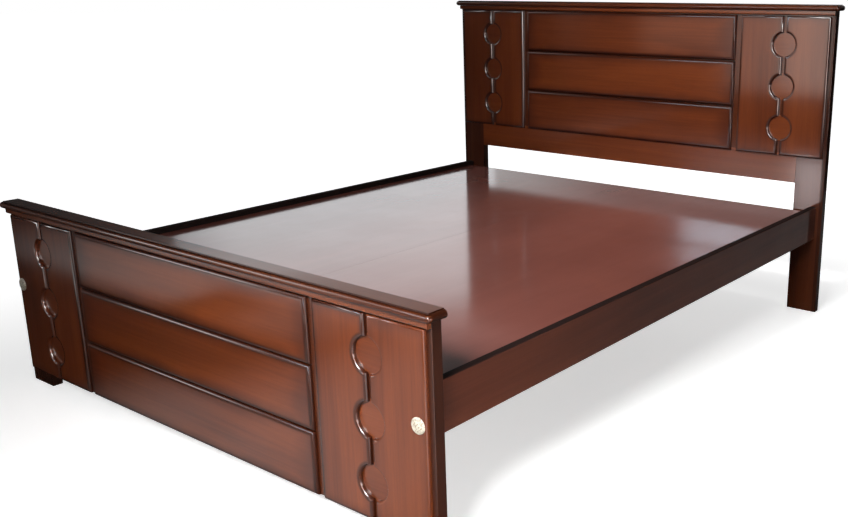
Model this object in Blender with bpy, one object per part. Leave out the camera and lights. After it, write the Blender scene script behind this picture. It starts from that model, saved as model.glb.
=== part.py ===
"""Wooden bed frame with slot-and-circle boards, modelled piece by piece as a joiner builds it.

Units are metres, +Z is up, the foot end is at -Y and the head end at +Y. The origin is on the floor,
under the middle of the frame. The decorated faces of the footboard and of the headboard look towards -Y.
"""

from math import acos, cos, pi, sin

import bmesh
import bpy
from mathutils import Matrix, Vector

# Mattress that the frame is made for, and clearances
mattress_width = 1.524
mattress_length = 1.905
mattress_side_play = 0.0095
mattress_end_play = 0.018
seat_gap = 0.0003

# Posts of both ends
post_width = 0.106
post_thickness = 0.029
post_edge_radius = 0.0025
footboard_floor_gap = 0.041
headboard_rail_gap = 0.168

# Side rails
rail_thickness = 0.022
rail_height = 0.116
rail_bottom = 0.264
rail_inset = 0.023
rail_edge_radius = 0.003

# Cap boards and the moulding under them
cap_thickness = 0.020
cap_front_overhang = 0.023
cap_end_overhang = 0.016
cap_quirk = 0.0022
cap_corner_radius = 0.010
moulding_height = 0.015
moulding_thickness = 0.0125
moulding_edge_radius = 0.005

# Decorated face: upright boards, planks and the gaps between them
footboard_face_height = 0.462
headboard_face_height = 0.474
face_thickness = 0.010
face_top_gap = 0.003
face_edge_radius = 0.0065
edge_reveal = 0.0125
slot_width = 0.010
groove_width = 0.020
upright_board_width = 0.156
circle_diameter = 0.080
circle_spacing = 0.142
plank_count = 3
plank_gap = 0.002
plank_edge_radius = 0.0085

# Frame behind the decorated face
back_panel_thickness = 0.009
rebate_width = 0.010
top_rail_height = 0.070
headboard_lower_rail_height = 0.112
headboard_lower_rail_overlap = 0.020
footboard_lower_rail_height = 0.056
tenon_length = 0.032
tenon_thickness = 0.010
tenon_shoulder = 0.010

# Platform and what carries it
platform_recess = 0.018
platform_thickness = 0.012
platform_side_play = 0.002
platform_end_play = 0.012
bearer_count = 6
bearer_width = 0.070
bearer_thickness = 0.020
bearer_end_play = 0.003
bearer_from_ledger_end = 0.005
ledger_width = 0.025
ledger_height = 0.035
ledger_past_nut = 0.025
beam_width = 0.045
beam_height = 0.070
beam_end_gap = 0.030
beam_leg_count = 2
beam_leg_depth = 0.060
beam_leg_spacing = 0.900
beam_leg_cheek = 0.020

# Corner fastenings
bolt_above_rail_bottom = 0.037
bolt_radius = 0.004
bolt_play = 0.0005
bolt_head_radius = 0.010
bolt_head_thickness = 0.005
bolt_head_chamfer = 0.0015
bolt_head_play = 0.002
bolt_past_nut = 0.007
nut_radius = 0.007
nut_inset = 0.0035
nut_from_rail_end = 0.068
bolt_cap_radius = 0.018
bolt_cap_rim = 0.0015
bolt_cap_height = 0.0045
bolt_cap_stem_play = 0.0005
dowel_radius = 0.005
dowel_length = 0.044
dowel_below_rail_top = 0.030
post_skin_over_dowel = 0.011
dowel_chamfer = 0.001
hole_play = 0.0003

# Facet counts of rounded edges and round pieces
round_segments = 3
face_round_segments = 3
arc_steps = 14
hole_sides = 16
bolt_cap_sides = 24
dome_steps = 4

# Widths that follow from the sizes above
rail_inner_x = mattress_width / 2 + mattress_side_play
rail_centre_x = rail_inner_x + rail_thickness / 2
rail_outer_x = rail_inner_x + rail_thickness
post_outer_x = rail_outer_x + rail_inset
post_inner_x = post_outer_x - post_width
outer_board_high = post_outer_x - edge_reveal
outer_board_low = outer_board_high - upright_board_width
inner_board_high = outer_board_low - slot_width
inner_board_low = inner_board_high - upright_board_width
slot_centre_x = (outer_board_low + inner_board_high) / 2
plank_end_x = inner_board_low - groove_width
circle_radius = circle_diameter / 2
circle_count = int(footboard_face_height / circle_spacing)
deepest_round = 0.9 * face_thickness

# Places along the bed
rail_length = mattress_length + mattress_end_play
overall_length = cap_front_overhang + 2 * post_thickness + rail_length
foot_front = -overall_length / 2 + cap_front_overhang
foot_back = foot_front + post_thickness
head_front = foot_back + rail_length
head_back = head_front + post_thickness
rail_middle_y = (foot_back + head_front) / 2
ledger_end_gap = nut_from_rail_end + nut_radius + ledger_past_nut

# Heights of the rails' fittings
rail_top = rail_bottom + rail_height
bolt_z = rail_bottom + bolt_above_rail_bottom
dowel_z = rail_top - dowel_below_rail_top
platform_top = rail_top - platform_recess
platform_bottom = platform_top - platform_thickness
bearer_top = platform_bottom - seat_gap
bearer_bottom = bearer_top - bearer_thickness
ledger_top = bearer_bottom - seat_gap
beam_top = bearer_bottom - seat_gap
beam_bottom = beam_top - beam_height

# Fits of the fastenings; the headboard's bolt heads are sunk into its back as deep as a face board is thick
bolt_hole_radius = bolt_radius + bolt_play
bolt_seat_radius = bolt_head_radius + bolt_head_play
bolt_seat_depth = face_thickness
bolt_reach = nut_from_rail_end + nut_radius + bolt_past_nut
bolt_cap_stem_radius = bolt_seat_radius - bolt_cap_stem_play
bolt_cap_stem_length = face_thickness - bolt_head_thickness - seat_gap - bolt_cap_stem_play
nut_length = rail_thickness - 2 * nut_inset
nut_bore_depth = rail_thickness - nut_inset + hole_play
dowel_hole_radius = dowel_radius + hole_play
dowel_in_post = post_thickness - post_skin_over_dowel
dowel_in_rail = dowel_length - dowel_in_post

# Two points closer than flush lie in the same plane; no plan corner of a cap is sharper than sharpest_corner
flush = 1e-6
sharpest_corner = 0.0005

# Finishes: colour, roughness, metallic
finishes = {
    "lacquered_hardwood": ((0.155, 0.052, 0.024), 0.22, 0.0),
    "dark_rail_wood": ((0.060, 0.027, 0.018), 0.28, 0.0),
    "lacquered_plywood": ((0.115, 0.040, 0.026), 0.10, 0.0),
    "plain_softwood": ((0.420, 0.270, 0.150), 0.65, 0.0),
    "zinc_steel": ((0.560, 0.560, 0.540), 0.35, 1.0),
    "ivory_plastic": ((0.720, 0.660, 0.520), 0.40, 0.0),
}


def clear_scene():
    """Take every object out of the open scene."""
    for item in list(bpy.data.objects):
        bpy.data.objects.remove(item, do_unlink=True)


def make_material(name):
    """One Principled material for each finish."""
    colour, roughness, metallic = finishes[name]
    material = bpy.data.materials.new(name)
    material.use_nodes = True
    shader = material.node_tree.nodes["Principled BSDF"]
    shader.inputs["Base Color"].default_value = (*colour, 1.0)
    shader.inputs["Roughness"].default_value = roughness
    shader.inputs["Metallic"].default_value = metallic
    return material


def make_assembly(name):
    """Empty that carries the pieces of one end of the bed, or of the base between the ends."""
    empty = bpy.data.objects.new(name, None)
    bpy.context.scene.collection.objects.link(empty)
    return empty


def add_object(name, shape, finish, smooth=False):
    """Turn a bmesh in bed coordinates into a named object that has its origin in the middle of the piece."""
    bmesh.ops.recalc_face_normals(shape, faces=shape.faces)
    low = Vector([min(vert.co[axis] for vert in shape.verts) for axis in range(3)])
    high = Vector([max(vert.co[axis] for vert in shape.verts) for axis in range(3)])
    middle = (low + high) / 2
    bmesh.ops.translate(shape, verts=shape.verts, vec=-middle)
    mesh = bpy.data.meshes.new(name)
    shape.to_mesh(mesh)
    shape.free()
    mesh.materials.append(materials[finish])
    if smooth:
        mesh.shade_smooth()
        mesh.set_sharp_from_angle(angle=pi / 5)
    item = bpy.data.objects.new(name, mesh)
    item.location = middle
    item.parent = assemblies.get(name.split("_")[0], assemblies["base"])
    bpy.context.scene.collection.objects.link(item)
    return item


def reshape(item, operation, name, shape):
    """Cut the shape out of the piece, or join it on, with a hidden tool object."""
    tool = add_object(name, shape, "plain_softwood")
    tool.hide_render = True
    tool.display_type = "WIRE"
    change = item.modifiers.new(name, "BOOLEAN")
    change.operation = operation
    change.solver = "EXACT"
    change.object = tool


def add_box(shape, low, high):
    """Add a plain box between two corners, given in any order."""
    size = [abs(b - a) for a, b in zip(low, high)]
    middle = [(a + b) / 2 for a, b in zip(low, high)]
    place = Matrix.Translation(middle) @ Matrix.Diagonal((*size, 1.0))
    bmesh.ops.create_cube(shape, size=1.0, matrix=place)


def round_edges(shape, edges, radius, segments=round_segments):
    """Round the given edges."""
    bmesh.ops.bevel(
        shape,
        geom=edges,
        offset=radius,
        offset_type="OFFSET",
        segments=segments,
        profile=0.5,
        affect="EDGES",
        clamp_overlap=True,
    )


def edges_along(shape, axis):
    """Edges that run along one axis of the frame: 0, 1 or 2."""
    found = []
    for edge in shape.edges:
        run = edge.verts[1].co - edge.verts[0].co
        if abs(run.length - abs(run[axis])) < flush:
            found.append(edge)
    return found


def front_edges(shape, front_y):
    """Outline edges of the face that looks towards -Y."""
    return [edge for edge in shape.edges if all(abs(v.co.y - front_y) < flush for v in edge.verts)]


def add_ring_stack(shape, rings):
    """Skin closed rings of equal point count, with a flat face at each end."""
    loops = [[shape.verts.new(point) for point in ring] for ring in rings]
    count = len(loops[0])
    for below, above in zip(loops, loops[1:]):
        for i in range(count):
            k = (i + 1) % count
            shape.faces.new((below[i], below[k], above[k], above[i]))
    shape.faces.new(loops[0])
    shape.faces.new(loops[-1])


def add_turned(shape, profile, origin, axis, sides=hole_sides):
    """Turn a profile of (distance along the axis, radius) pairs about an axis through the origin."""
    axis = Vector(axis)
    side = axis.orthogonal().normalized()
    other = axis.cross(side)
    rings = []
    for along, radius in profile:
        ring = []
        for i in range(sides):
            angle = 2 * pi * i / sides
            spoke = side * cos(angle) + other * sin(angle)
            ring.append(Vector(origin) + axis * along + spoke * radius)
        rings.append(ring)
    add_ring_stack(shape, rings)


def plain_board(name, low, high, finish):
    """A square-edged board for places out of sight."""
    shape = bmesh.new()
    add_box(shape, low, high)
    return add_object(name, shape, finish)


def prism(name, section, ends, across, finish):
    """A straight piece with the same section from end to end, along X or along Y."""
    rings = []
    for end in ends:
        if across == "x":
            rings.append([(end, a, z) for a, z in section])
        else:
            rings.append([(a, end, z) for a, z in section])
    shape = bmesh.new()
    add_ring_stack(shape, rings)
    return add_object(name, shape, finish)


def plank(name, front_y, bottom, top):
    """Horizontal plank of the decorated face, rounded all round its front."""
    shape = bmesh.new()
    back_y = front_y + face_thickness - seat_gap
    add_box(shape, (-plank_end_x, front_y, bottom), (plank_end_x, back_y, top))
    round_edges(shape, front_edges(shape, front_y), min(plank_edge_radius, deepest_round))
    return add_object(name, shape, "lacquered_hardwood")


def circle_heights(bottom, face_top):
    """Centre heights of the round recesses, spread evenly about the middle of the face."""
    first = (bottom + face_top) / 2 - circle_spacing * (circle_count - 1) / 2
    return [first + circle_spacing * i for i in range(circle_count)]


def scalloped_board(name, plain_x, notched_x, front_y, bottom, face_top):
    """An upright board with half-round notches along its edge beside the slot."""
    centre_x = slot_centre_x if notched_x > 0 else -slot_centre_x
    into_wood = circle_radius if notched_x > centre_x else -circle_radius
    half_angle = acos(slot_width / 2 / circle_radius)
    outline = [(plain_x, bottom), (notched_x, bottom)]
    for height in circle_heights(bottom, face_top):
        for i in range(arc_steps + 1):
            turn = half_angle * (2 * i / arc_steps - 1)
            outline.append((centre_x + into_wood * cos(turn), height + circle_radius * sin(turn)))
    outline += [(notched_x, face_top), (plain_x, face_top)]
    shape = bmesh.new()
    back_y = front_y + face_thickness - seat_gap
    add_ring_stack(shape, [[(x, y, z) for x, z in outline] for y in (front_y, back_y)])
    radius = min(face_edge_radius, deepest_round)
    round_edges(shape, front_edges(shape, front_y), radius, face_round_segments)
    return add_object(name, shape, "lacquered_hardwood")


def cap_profile():
    """Section of the cap's edge as (inset, height) pairs: a half-round nose, then a quirk to the flat top."""
    nose_depth = (cap_thickness - cap_quirk) / 2
    steps = 2 * round_segments + 2
    profile = []
    for i in range(steps + 1):
        turn = pi * i / steps - pi / 2
        profile.append((nose_depth * (1 - cos(turn)), nose_depth * (1 + sin(turn))))
    profile.append((nose_depth, cap_thickness))
    return profile


def cap_board(name, front_y, cap_bottom):
    """Cap with its moulded edge on the front and on both ends, flat at the back."""
    back_y = front_y + post_thickness
    rings = []
    for inset, height in cap_profile():
        x = post_outer_x + cap_end_overhang - inset
        y = front_y - cap_front_overhang + inset
        z = cap_bottom + height
        radius = max(cap_corner_radius - inset, sharpest_corner)
        ring = [(-x, back_y, z)]
        for side, start in ((-1, pi), (1, 1.5 * pi)):
            for i in range(round_segments + 1):
                turn = start + pi / 2 * i / round_segments
                corner_x = side * (x - radius) + radius * cos(turn)
                ring.append((corner_x, y + radius + radius * sin(turn), z))
        ring.append((x, back_y, z))
        rings.append(ring)
    shape = bmesh.new()
    add_ring_stack(shape, rings)
    return add_object(name, shape, "lacquered_hardwood", smooth=True)


def cap_moulding(name, front_y, cap_bottom):
    """Strip under the cap, across both posts, with a round lower edge."""
    shape = bmesh.new()
    strip_front = front_y - moulding_thickness
    bottom = cap_bottom - moulding_height
    low = (-post_outer_x, strip_front, bottom)
    add_box(shape, low, (post_outer_x, front_y - seat_gap, cap_bottom - seat_gap))
    front = front_edges(shape, strip_front)
    lower = [edge for edge in front if all(v.co.z < bottom + flush for v in edge.verts)]
    round_edges(shape, lower, moulding_edge_radius)
    return add_object(name, shape, "lacquered_hardwood")


def tenon_bar(front_y, low_z, high_z, play):
    """Corners of the bar that holds both tenons of a cross rail, grown by some play for the mortises."""
    middle_y = front_y + (back_panel_thickness + post_thickness) / 2
    half = tenon_thickness / 2 + play
    reach = post_inner_x + tenon_length + play
    low = (-reach, middle_y - half, low_z + tenon_shoulder - play)
    high = (reach, middle_y + half, high_z - tenon_shoulder + play)
    return low, high


def frame_rail(name, front_y, low_z, high_z, panel_above):
    """Cross rail between two posts, with tenons and with a front rebate for the back panel."""
    back_y = front_y + post_thickness
    shelf_y = front_y + back_panel_thickness + seat_gap
    if panel_above:
        step_z = high_z - rebate_width - seat_gap
        section = [(front_y, low_z), (back_y, low_z), (back_y, high_z)]
        section += [(shelf_y, high_z), (shelf_y, step_z), (front_y, step_z)]
    else:
        step_z = low_z + rebate_width + seat_gap
        section = [(front_y, step_z), (shelf_y, step_z), (shelf_y, low_z)]
        section += [(back_y, low_z), (back_y, high_z), (front_y, high_z)]
    reach = post_inner_x - seat_gap
    rail = prism(name, section, (-reach, reach), "x", "lacquered_hardwood")
    tenons = bmesh.new()
    add_box(tenons, *tenon_bar(front_y, low_z, high_z, 0.0))
    reshape(rail, "UNION", name + "_tenons", tenons)


def post(name, side, front_y, top, cross_rails, panel_z, bolt_from_back):
    """Post with mortises for two cross rails, a stopped rebate for the panel and its corner's holes."""
    shape = bmesh.new()
    back_y = front_y + post_thickness
    add_box(shape, (side * post_inner_x, front_y, 0.0), (side * post_outer_x, back_y, top))
    outer = [edge for edge in edges_along(shape, 2) if abs(edge.verts[0].co.x) > post_outer_x - flush]
    round_edges(shape, outer, post_edge_radius)
    item = add_object(name, shape, "lacquered_hardwood")

    open_x = side * (post_inner_x - rebate_width)
    pockets = bmesh.new()
    for low_z, high_z in cross_rails:
        low, high = tenon_bar(front_y, low_z, high_z, seat_gap)
        add_box(pockets, (open_x, low[1], low[2]), (side * high[0], high[1], high[2]))
    closed_x = side * (post_inner_x + rebate_width + seat_gap)
    shelf_y = front_y + back_panel_thickness + seat_gap
    rebate_low = (open_x, front_y - rebate_width, panel_z[0] - seat_gap)
    add_box(pockets, rebate_low, (closed_x, shelf_y, panel_z[1] + seat_gap))
    reshape(item, "DIFFERENCE", name + "_pockets", pockets)

    holes = bmesh.new()
    x = side * rail_centre_x
    through = 2 * post_thickness
    rail_face = front_y if bolt_from_back else back_y
    into_post = 1 if bolt_from_back else -1
    bolt_hole = [(-through, bolt_hole_radius), (through, bolt_hole_radius)]
    if bolt_from_back:
        step = post_thickness - bolt_seat_depth
        bolt_hole = [(-through, bolt_hole_radius), (step, bolt_hole_radius)]
        bolt_hole += [(step, bolt_seat_radius), (through, bolt_seat_radius)]
    add_turned(holes, bolt_hole, (x, rail_face, bolt_z), (0, into_post, 0))
    dowel_hole = [(-through, dowel_hole_radius), (dowel_in_post + hole_play, dowel_hole_radius)]
    add_turned(holes, dowel_hole, (x, rail_face, dowel_z), (0, into_post, 0))
    reshape(item, "DIFFERENCE", name + "_holes", holes)


def end_boards(label, word, side, face_front, face_z, bolted_through):
    """The pair of scalloped boards on one side of an end; a bolt may pass through the outer one."""
    name = f"{label}_{word}_outer_board"
    board = scalloped_board(name, side * outer_board_high, side * outer_board_low, face_front, *face_z)
    if bolted_through:
        hole = bmesh.new()
        reach = 2 * face_thickness
        ends = [(-reach, bolt_seat_radius), (reach, bolt_seat_radius)]
        add_turned(hole, ends, (side * rail_centre_x, face_front, bolt_z), (0, 1, 0))
        reshape(board, "DIFFERENCE", name + "_bolt_hole", hole)
    name = f"{label}_{word}_inner_board"
    scalloped_board(name, side * inner_board_low, side * inner_board_high, face_front, *face_z)


def end_assembly(label, front_y, face_bottom, face_height, lower_rail_z, bolt_from_back):
    """Headboard or footboard: frame, panel, decorated face, cap and moulding."""
    face_top = face_bottom + face_height
    face_front = front_y - face_thickness
    cap_bottom = face_top + face_top_gap + moulding_height
    frame_top = cap_bottom - seat_gap
    top_rail_z = (frame_top - top_rail_height, frame_top)
    panel_z = (lower_rail_z[1] - rebate_width, top_rail_z[0] + rebate_width)

    for side, word in ((-1, "left"), (1, "right")):
        name = f"{label}_{word}_post"
        post(name, side, front_y, frame_top, (lower_rail_z, top_rail_z), panel_z, bolt_from_back)
        end_boards(label, word, side, face_front, (face_bottom, face_top), not bolt_from_back)
    frame_rail(f"{label}_top_rail", front_y, *top_rail_z, False)
    frame_rail(f"{label}_lower_rail", front_y, *lower_rail_z, True)
    panel_x = post_inner_x + rebate_width
    panel_back = front_y + back_panel_thickness
    low = (-panel_x, front_y, panel_z[0])
    plain_board(f"{label}_back_panel", low, (panel_x, panel_back, panel_z[1]), "lacquered_hardwood")

    plank_height = (face_height - plank_gap * (plank_count - 1)) / plank_count
    for i in range(plank_count):
        plank_top = face_top - i * (plank_height + plank_gap)
        plank(f"{label}_plank_{i + 1}", face_front, plank_top - plank_height, plank_top)
    cap_board(f"{label}_cap", front_y, cap_bottom)
    cap_moulding(f"{label}_cap_moulding", front_y, cap_bottom)


def side_rail(name, side):
    """Side rail with rounded long edges, bored at each end for its bolt, barrel nut and dowel."""
    shape = bmesh.new()
    low = (side * rail_inner_x, foot_back + seat_gap, rail_bottom)
    add_box(shape, low, (side * rail_outer_x, head_front - seat_gap, rail_top))
    round_edges(shape, edges_along(shape, 1), rail_edge_radius)
    rail = add_object(name, shape, "dark_rail_wood")
    end_bores = bmesh.new()
    nut_bores = bmesh.new()
    x = side * rail_centre_x
    outside = rail_thickness
    nut_hole_radius = nut_radius + hole_play
    for end_y, inward in ((foot_back, 1), (head_front, -1)):
        bolt_bore = [(-outside, bolt_hole_radius), (bolt_reach + hole_play, bolt_hole_radius)]
        add_turned(end_bores, bolt_bore, (x, end_y, bolt_z), (0, inward, 0))
        dowel_bore = [(-outside, dowel_hole_radius), (dowel_in_rail + hole_play, dowel_hole_radius)]
        add_turned(end_bores, dowel_bore, (x, end_y, dowel_z), (0, inward, 0))
        nut_y = end_y + inward * nut_from_rail_end
        nut_bore = [(-outside, nut_hole_radius), (nut_bore_depth, nut_hole_radius)]
        add_turned(nut_bores, nut_bore, (side * rail_inner_x, nut_y, bolt_z), (side, 0, 0))
    reshape(rail, "DIFFERENCE", name + "_end_bores", end_bores)
    reshape(rail, "DIFFERENCE", name + "_nut_bores", nut_bores)


def ledger(name, side):
    """Batten along the inside of a side rail, clear of the barrel nuts, that carries the bearers."""
    face_x = rail_inner_x - seat_gap
    low = (side * (face_x - ledger_width), foot_back + ledger_end_gap, ledger_top - ledger_height)
    plain_board(name, low, (side * face_x, head_front - ledger_end_gap, ledger_top), "plain_softwood")


def bearers():
    """Cross bearers on the ledgers and on the centre beam."""
    reach = rail_inner_x - bearer_end_play
    first = foot_back + ledger_end_gap + bearer_from_ledger_end
    last = head_front - ledger_end_gap - bearer_from_ledger_end - bearer_width
    for i in range(bearer_count):
        y = first + (last - first) * i / (bearer_count - 1)
        low = (-reach, y, bearer_bottom)
        plain_board(f"cross_bearer_{i + 1}", low, (reach, y + bearer_width, bearer_top), "plain_softwood")


def centre_support():
    """Centre beam under the bearers, and its legs, each with a shoulder and a cheek beside the beam."""
    half = beam_width / 2
    low = (-half, foot_back + beam_end_gap, beam_bottom)
    plain_board("centre_beam", low, (half, head_front - beam_end_gap, beam_top), "plain_softwood")
    shoulder = beam_bottom - seat_gap
    cheek_low = half + seat_gap
    cheek_high = cheek_low + beam_leg_cheek
    section = [(-half, 0.0), (cheek_high, 0.0), (cheek_high, beam_top)]
    section += [(cheek_low, beam_top), (cheek_low, shoulder), (-half, shoulder)]
    for i in range(beam_leg_count):
        y = rail_middle_y + beam_leg_spacing * (i - (beam_leg_count - 1) / 2)
        ends = (y - beam_leg_depth / 2, y + beam_leg_depth / 2)
        prism(f"centre_leg_{i + 1}", section, ends, "y", "plain_softwood")


def platform_panel(name, side):
    """Half of the lacquered platform; the two halves meet over the centre beam."""
    low = (side * seat_gap, foot_back + platform_end_play, platform_bottom)
    high = (side * (rail_inner_x - platform_side_play), head_front - platform_end_play, platform_top)
    plain_board(name, low, high, "lacquered_plywood")


def bed_bolt(name, x, seat_y, rail_end, inward):
    """Bolt whose head bears on the post and whose shank passes the post into the rail."""
    head_top = -bolt_head_thickness - seat_gap
    rim = head_top + bolt_head_chamfer
    profile = [(head_top, bolt_head_radius - bolt_head_chamfer), (rim, bolt_head_radius)]
    profile += [(-seat_gap, bolt_head_radius), (-seat_gap, bolt_radius)]
    profile.append((abs(rail_end - seat_y) + bolt_reach, bolt_radius))
    shape = bmesh.new()
    add_turned(shape, profile, (x, seat_y, bolt_z), (0, inward, 0))
    add_object(name, shape, "zinc_steel", smooth=True)


def barrel_nut(name, x, rail_end, inward):
    """Cross nut inside the rail, with a hole for the bolt."""
    nut_y = rail_end + inward * nut_from_rail_end
    half = nut_length / 2
    shape = bmesh.new()
    add_turned(shape, [(-half, nut_radius), (half, nut_radius)], (x, nut_y, bolt_z), (1, 0, 0))
    nut = add_object(name, shape, "zinc_steel", smooth=True)
    hole = bmesh.new()
    reach = 2 * nut_radius
    ends = [(-reach, bolt_hole_radius), (reach, bolt_hole_radius)]
    add_turned(hole, ends, (x, nut_y, bolt_z), (0, 1, 0))
    reshape(nut, "DIFFERENCE", name + "_hole", hole)


def bolt_cap(name, x, face_y):
    """Domed cover on the footboard, with a stem that plugs the hole over the bolt head."""
    base = -seat_gap
    profile = [(bolt_cap_stem_length, bolt_cap_stem_radius), (base, bolt_cap_stem_radius)]
    profile.append((base, bolt_cap_radius))
    for i in range(dome_steps):
        turn = pi / 2 * i / dome_steps
        rise = bolt_cap_rim + (bolt_cap_height - bolt_cap_rim) * sin(turn)
        profile.append((base - rise, bolt_cap_radius * cos(turn)))
    shape = bmesh.new()
    add_turned(shape, profile, (x, face_y, bolt_z), (0, 1, 0), bolt_cap_sides)
    add_object(name, shape, "ivory_plastic", smooth=True)


def rail_dowel(name, x, rail_end, inward):
    """Dowel above the bolt that keeps the rail from turning."""
    slim = dowel_radius - dowel_chamfer
    profile = [(-dowel_in_post, slim), (dowel_chamfer - dowel_in_post, dowel_radius)]
    profile += [(dowel_in_rail - dowel_chamfer, dowel_radius), (dowel_in_rail, slim)]
    shape = bmesh.new()
    add_turned(shape, profile, (x, rail_end, dowel_z), (0, inward, 0))
    add_object(name, shape, "plain_softwood", smooth=True)


def corner_fastenings(label, seat_y, rail_end, inward):
    """Bolt, nut and dowel at both corners of one end."""
    for side, word in ((-1, "left"), (1, "right")):
        x = side * rail_centre_x
        bed_bolt(f"{label}_{word}_bolt", x, seat_y, rail_end, inward)
        barrel_nut(f"{label}_{word}_barrel_nut", x, rail_end, inward)
        rail_dowel(f"{label}_{word}_dowel", x, rail_end, inward)


clear_scene()
materials = {name: make_material(name) for name in finishes}
assemblies = {name: make_assembly(name) for name in ("headboard", "footboard", "base")}

headboard_face_bottom = rail_top + headboard_rail_gap
headboard_rail_top = headboard_face_bottom + headboard_lower_rail_overlap
headboard_lower_rail = (headboard_rail_top - headboard_lower_rail_height, headboard_rail_top)
footboard_lower_rail = (footboard_floor_gap, footboard_floor_gap + footboard_lower_rail_height)
head_face = (headboard_face_bottom, headboard_face_height)
foot_face = (footboard_floor_gap, footboard_face_height)
end_assembly("headboard", head_front, *head_face, headboard_lower_rail, True)
end_assembly("footboard", foot_front, *foot_face, footboard_lower_rail, False)
for bed_side, side_word in ((-1, "left"), (1, "right")):
    side_rail(f"{side_word}_side_rail", bed_side)
    ledger(f"{side_word}_ledger", bed_side)
    platform_panel(f"platform_{side_word}_panel", bed_side)
    bolt_cap(f"footboard_{side_word}_bolt_cap", bed_side * rail_centre_x, foot_front - face_thickness)
bearers()
centre_support()
corner_fastenings("footboard", foot_front, foot_back, 1)
corner_fastenings("headboard", head_back - bolt_seat_depth, head_front, -1)
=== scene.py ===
from math import cos, pi, radians, sin

import bmesh
import bpy
from mathutils import Matrix, Vector


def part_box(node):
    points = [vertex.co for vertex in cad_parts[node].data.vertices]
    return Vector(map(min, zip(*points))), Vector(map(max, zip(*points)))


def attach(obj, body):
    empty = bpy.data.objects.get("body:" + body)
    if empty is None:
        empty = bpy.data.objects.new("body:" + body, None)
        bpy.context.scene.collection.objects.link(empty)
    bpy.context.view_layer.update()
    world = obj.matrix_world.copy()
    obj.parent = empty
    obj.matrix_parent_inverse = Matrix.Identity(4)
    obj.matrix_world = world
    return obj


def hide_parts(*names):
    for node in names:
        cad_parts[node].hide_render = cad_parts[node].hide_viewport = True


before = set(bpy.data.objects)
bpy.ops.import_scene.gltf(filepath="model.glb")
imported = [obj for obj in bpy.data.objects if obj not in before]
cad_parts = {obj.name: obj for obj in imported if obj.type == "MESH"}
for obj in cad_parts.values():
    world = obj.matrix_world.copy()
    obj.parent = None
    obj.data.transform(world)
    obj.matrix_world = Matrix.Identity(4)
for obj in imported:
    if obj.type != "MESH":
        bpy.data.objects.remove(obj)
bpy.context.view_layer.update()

# Camera that took the picture: place, direction in degrees, focal length and optical centre in pixels
image_width = 848
image_height = 517
camera_place = Vector((2.0325, -2.2429, 1.1339))
camera_yaw = 36.8809
camera_pitch = -15.3559
camera_roll = -0.1539
focal_pixels = 980.753
optical_centre = (545.0, 251.48)
sensor_width = 36.0
view_distance = 200.0

# Sizes of the moulded and scalloped pieces, in metres, as on the solids
slot_width = 0.010
circle_radius = 0.040
circle_spacing = 0.142
circle_count = 3
board_round = 0.0065
plank_round = 0.0085
cap_quirk = 0.0022
cap_corner_radius = 0.010
cap_top_round = 0.0009
# Band of painted shade on the cap's top behind its arris, and the turn of the nose above which painted shade
# and a painted dark reflection cover it
cap_shade_band = 0.0015
cap_shade_from = radians(56)
moulding_round = 0.005
small_arris = 0.0006
# Band over which the edges of planks and boards turn from the flat front to darker stain and painted shade
edge_stain_and_shade_band = 0.0045

# Fastenings: covers over the footboard's bolts, sockets in the bolt heads, and wood screws
cover_seat_gap = 0.0003
cover_rim = 0.0015
cover_stem_radius = 0.0115
bolt_radius = 0.004
bolt_head_radius = 0.010
bolt_head_thickness = 0.005
bolt_chamfer = 0.0015
bolt_socket = 0.003
bolt_socket_sides = 6
screw_head_radius = 0.0042
screw_head_height = 0.0018
screw_recess = 0.0010
screw_weld = 1e-7
ledger_screws = 5
ledger_screw_margin = 0.050
leg_screws = 2
leg_screw_margin = 0.018

# Facets of the finished pieces, and the angles that count as flat, sharp or in need of an arris
arc_steps = 40
round_steps = 5
turned_sides = 48
flat_angle = radians(0.5)
sharp_angle = radians(50)
screw_sharp_angle = radians(40)
arris_angle = radians(55)
tiny = 1e-6

# Offsets between the grain of one piece and the next, and how dark the painted shade is on the faces picked
# for it
grain_steps = (3.71, 1.37, 2.23)
shaded_face_weight = 0.8


# Node helpers

def feed(tree, item, values):
    """Give named or numbered sockets of a node their links or constants."""
    for key, value in values.items():
        if isinstance(value, bpy.types.NodeSocket):
            tree.links.new(value, item.inputs[key])
        else:
            item.inputs[key].default_value = value


def add_node(tree, kind, values=None, **settings):
    """New node with its settings, and with links or constants on its sockets."""
    item = tree.nodes.new(kind)
    for key, value in settings.items():
        setattr(item, key, value)
    feed(tree, item, values or {})
    return item


def join(tree, source, target):
    """Link one output socket to one input socket."""
    tree.links.new(source, target)


def math_node(tree, operation, first, second=None, clamp=False):
    """Math node whose operands are sockets or numbers; returns its output."""
    operands = {0: first} if second is None else {0: first, 1: second}
    return add_node(tree, "ShaderNodeMath", operands, operation=operation, use_clamp=clamp).outputs[0]


def mix_colours(tree, factor, first, second):
    """Colour mix whose operands are sockets, numbers or colours; returns the colour output."""
    operands = {0: factor, 6: first, 7: second}
    return add_node(tree, "ShaderNodeMix", operands, data_type="RGBA").outputs[2]


def remap(tree, value, low, high, new_low, new_high):
    """Smooth map from one range to another; returns the result."""
    operands = dict(enumerate((value, low, high, new_low, new_high)))
    return add_node(tree, "ShaderNodeMapRange", operands, interpolation_type="SMOOTHSTEP").outputs[0]


def noise(tree, vector, scale, detail=2.0, roughness=0.5, distortion=0.0):
    """Noise pattern on a vector; returns the value output."""
    values = {"Vector": vector, "Scale": scale, "Detail": detail}
    values.update({"Roughness": roughness, "Distortion": distortion})
    return add_node(tree, "ShaderNodeTexNoise", values).outputs["Fac"]


def stretch(tree, vector, factors):
    """Vector scaled along each axis; returns the result."""
    return add_node(tree, "ShaderNodeVectorMath", {0: vector, 1: factors}, operation="MULTIPLY").outputs[0]


def vector_of(tree, x, y, z):
    """Vector from three sockets or numbers; returns the result."""
    return add_node(tree, "ShaderNodeCombineXYZ", {"X": x, "Y": y, "Z": z}).outputs[0]


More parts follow.
